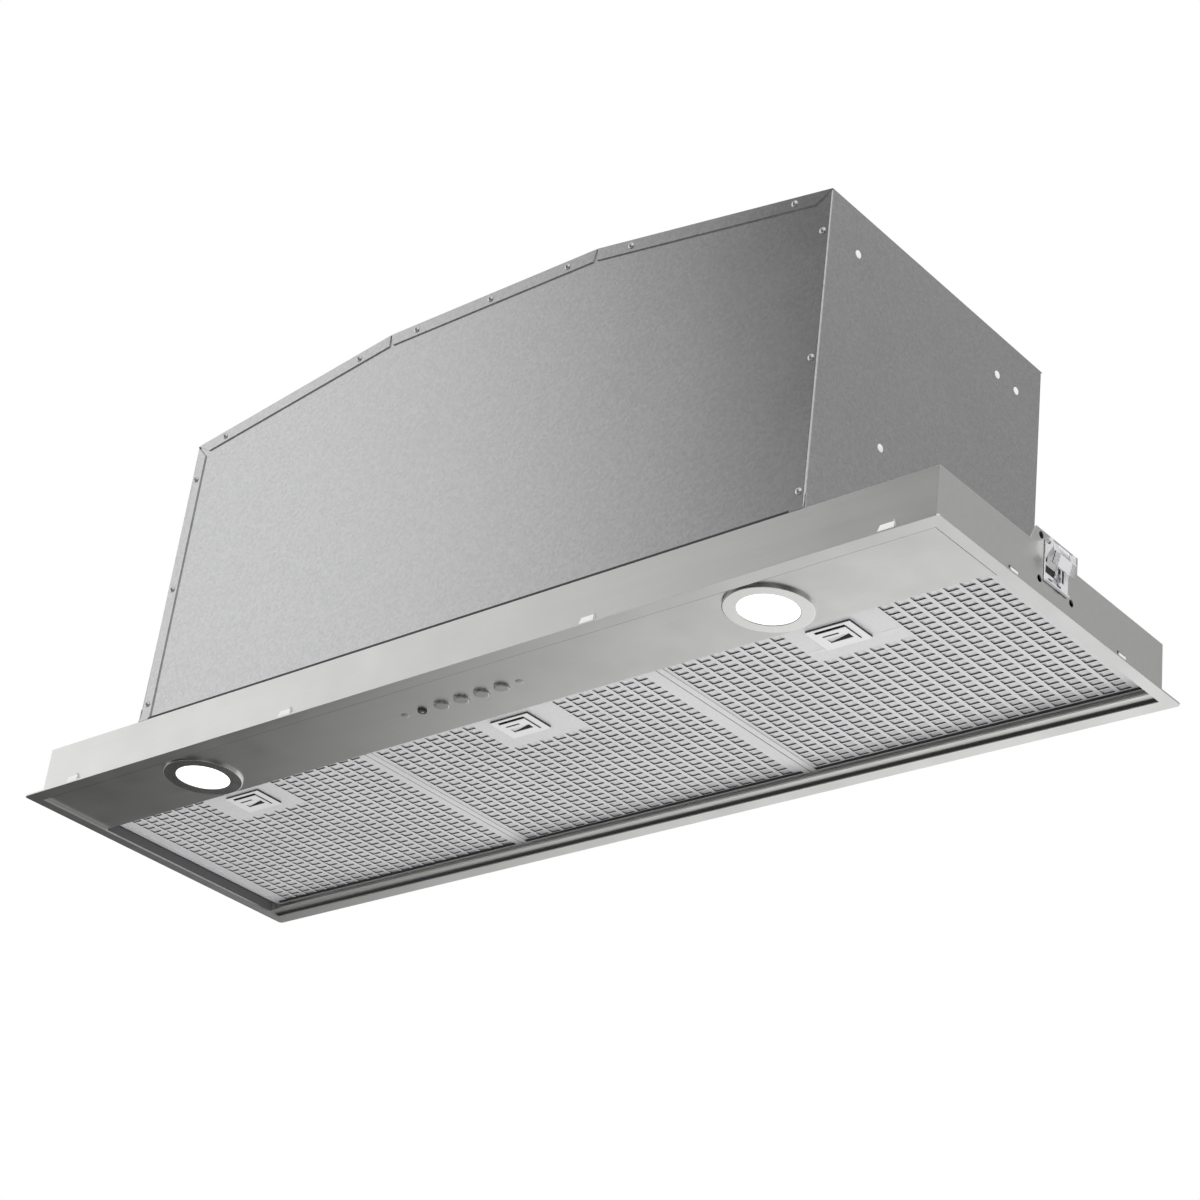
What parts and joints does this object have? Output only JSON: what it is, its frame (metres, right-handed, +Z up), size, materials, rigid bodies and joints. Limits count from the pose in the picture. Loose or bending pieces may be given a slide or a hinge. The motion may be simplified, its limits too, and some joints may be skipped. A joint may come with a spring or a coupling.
{
  "type": "range hood insert",
  "caption": "Built-in range hood insert: lipped frame with push buttons, lamps and tilting cassette filters under a riveted blower body with a round duct collar.",
  "frame": {"origin": "middle of the footprint, level with the lowest faces, which are the lamp bezels", "axes": "+X to the right and +Y to the back as seen from the front, +Z up to the duct collar"},
  "size_m": [0.86, 0.278, 0.3725],
  "materials": {
    "frame_sheet": "satin stainless sheet",
    "galvanised_sheet": "galvanised sheet with a fine spangle",
    "rivet_aluminium": "satin",
    "plug_white": "white moulded",
    "zinc_steel": "bright zinc",
    "flap_plastic": "moulded black",
    "wheel_sheet": "galvanised blades",
    "motor_can": "dark lacquer",
    "capacitor_white": "moulded off-white",
    "board_green": "lacquered laminate",
    "gland_black": "moulded black",
    "bezel_chrome": "polished",
    "lens_white": "opal diffuser",
    "button_metal": "satin domed caps",
    "clip_chrome": "polished spring steel",
    "filter_aluminium": "bare embossed aluminium",
    "mesh_aluminium": "expanded mesh",
    "latch_grey": "silver moulded"
  },
  "bodies": {
    "hood": {"canopy_frame": "frame_sheet", "deck_left": "galvanised_sheet", "deck_right": "galvanised_sheet", "control_panel": "frame_sheet", "rear_rail": "frame_sheet", "front_panel": "galvanised_sheet", "back_panel": "galvanised_sheet", "side_panel_left": "galvanised_sheet", "side_panel_right": "galvanised_sheet", "top_wrapper": "galvanised_sheet", "body_rivets": "rivet_aluminium", "hole_plugs": "plug_white", "duct_collar": "galvanised_sheet", "sheet_screws": "zinc_steel", "damper_pin": "zinc_steel", "scroll_left": "flap_plastic", "scroll_right": "flap_plastic", "motor": "motor_can", "motor_bracket": "galvanised_sheet", "capacitor": "capacitor_white", "control_box": "galvanised_sheet", "control_box_lid": "galvanised_sheet", "circuit_board": "board_green", "led_driver": "capacitor_white", "cable_gland": "gland_black", "lamp_bezel_left": "bezel_chrome", "lamp_bezel_right": "bezel_chrome", "lamp_lens_left": "lens_white", "lamp_lens_right": "lens_white", "lamp_housing_left": "gland_black", "lamp_housing_right": "gland_black", "switch_housing": "gland_black", "switch_board": "board_green", "clip_brackets": "clip_chrome"},
    "filter_left": {"filter_frame_left": "filter_aluminium", "filter_face_left": "filter_aluminium", "filter_mesh_left": "mesh_aluminium", "latch_housing_left": "latch_grey"},
    "latch_left": {"latch_slider_left": "latch_grey"},
    "filter_middle": {"filter_frame_middle": "filter_aluminium", "filter_face_middle": "filter_aluminium", "filter_mesh_middle": "mesh_aluminium", "latch_housing_middle": "latch_grey"},
    "latch_middle": {"latch_slider_middle": "latch_grey"},
    "filter_right": {"filter_frame_right": "filter_aluminium", "filter_face_right": "filter_aluminium", "filter_mesh_right": "mesh_aluminium", "latch_housing_right": "latch_grey"},
    "latch_right": {"latch_slider_right": "latch_grey"},
    "power_button": {"power_button": "button_metal"},
    "light_button": {"light_button": "button_metal"},
    "speed_button_1": {"speed_button_1": "button_metal"},
    "speed_button_2": {"speed_button_2": "button_metal"},
    "speed_button_3": {"speed_button_3": "button_metal"},
    "impeller": {"impeller": "wheel_sheet", "motor_shaft": "zinc_steel"},
    "damper_flap_front": {"damper_flap_front": "flap_plastic"},
    "damper_flap_back": {"damper_flap_back": "flap_plastic"},
    "spring_clip_left": {"spring_clip_left": "clip_chrome"},
    "spring_clip_right": {"spring_clip_right": "clip_chrome"}
  },
  "joints": [
    {"name": "filter_left_tilt", "type": "hinge", "parent": "hood", "child": "filter_left", "pos_m": [-0.27973, 0.1228, 0.0097], "axis": [1, 0, 0], "range_deg": [0, 40]},
    {"name": "latch_left_slide", "type": "slide", "parent": "filter_left", "child": "latch_left", "axis": [0, 1, 0], "range_m": [0, 0.004], "stiffness_N_per_m": 400, "springref_m": -0.003},
    {"name": "filter_middle_tilt", "type": "hinge", "parent": "hood", "child": "filter_middle", "pos_m": [0, 0.1228, 0.0097], "axis": [1, 0, 0], "range_deg": [0, 40]},
    {"name": "latch_middle_slide", "type": "slide", "parent": "filter_middle", "child": "latch_middle", "axis": [0, 1, 0], "range_m": [0, 0.004], "stiffness_N_per_m": 400, "springref_m": -0.003},
    {"name": "filter_right_tilt", "type": "hinge", "parent": "hood", "child": "filter_right", "pos_m": [0.27973, 0.1228, 0.0097], "axis": [1, 0, 0], "range_deg": [0, 40]},
    {"name": "latch_right_slide", "type": "slide", "parent": "filter_right", "child": "latch_right", "axis": [0, 1, 0], "range_m": [0, 0.004], "stiffness_N_per_m": 400, "springref_m": -0.003},
    {"name": "power_button_press", "type": "slide", "parent": "hood", "child": "power_button", "axis": [0, 0, 1], "range_m": [0, 0.0015], "stiffness_N_per_m": 600, "springref_m": -0.001},
    {"name": "light_button_press", "type": "slide", "parent": "hood", "child": "light_button", "axis": [0, 0, 1], "range_m": [0, 0.0015], "stiffness_N_per_m": 600, "springref_m": -0.001},
    {"name": "speed_button_1_press", "type": "slide", "parent": "hood", "child": "speed_button_1", "axis": [0, 0, 1], "range_m": [0, 0.0015], "stiffness_N_per_m": 600, "springref_m": -0.001},
    {"name": "speed_button_2_press", "type": "slide", "parent": "hood", "child": "speed_button_2", "axis": [0, 0, 1], "range_m": [0, 0.0015], "stiffness_N_per_m": 600, "springref_m": -0.001},
    {"name": "speed_button_3_press", "type": "slide", "parent": "hood", "child": "speed_button_3", "axis": [0, 0, 1], "range_m": [0, 0.0015], "stiffness_N_per_m": 600, "springref_m": -0.001},
    {"name": "impeller_spin", "type": "hinge", "parent": "hood", "child": "impeller", "pos_m": [0, 0.012, 0.149], "axis": [1, 0, 0], "continuous": true},
    {"name": "damper_front_swing", "type": "hinge", "parent": "hood", "child": "damper_flap_front", "pos_m": [0, 0, 0.34], "axis": [-1, 0, 0], "range_deg": [0, 80]},
    {"name": "damper_back_swing", "type": "hinge", "parent": "hood", "child": "damper_flap_back", "pos_m": [0, 0, 0.34], "axis": [1, 0, 0], "range_deg": [0, 80]},
    {"name": "clip_left_squeeze", "type": "hinge", "parent": "hood", "child": "spring_clip_left", "pos_m": [-0.4253, -0.001, 0.047], "axis": [0, -1, 0], "range_deg": [0, 12], "stiffness_Nm_per_rad": 0.5, "springref_deg": -2.86},
    {"name": "clip_right_squeeze", "type": "hinge", "parent": "hood", "child": "spring_clip_right", "pos_m": [0.4253, -0.001, 0.047], "axis": [0, 1, 0], "range_deg": [0, 12], "stiffness_Nm_per_rad": 0.5, "springref_deg": -2.86}
  ]
}
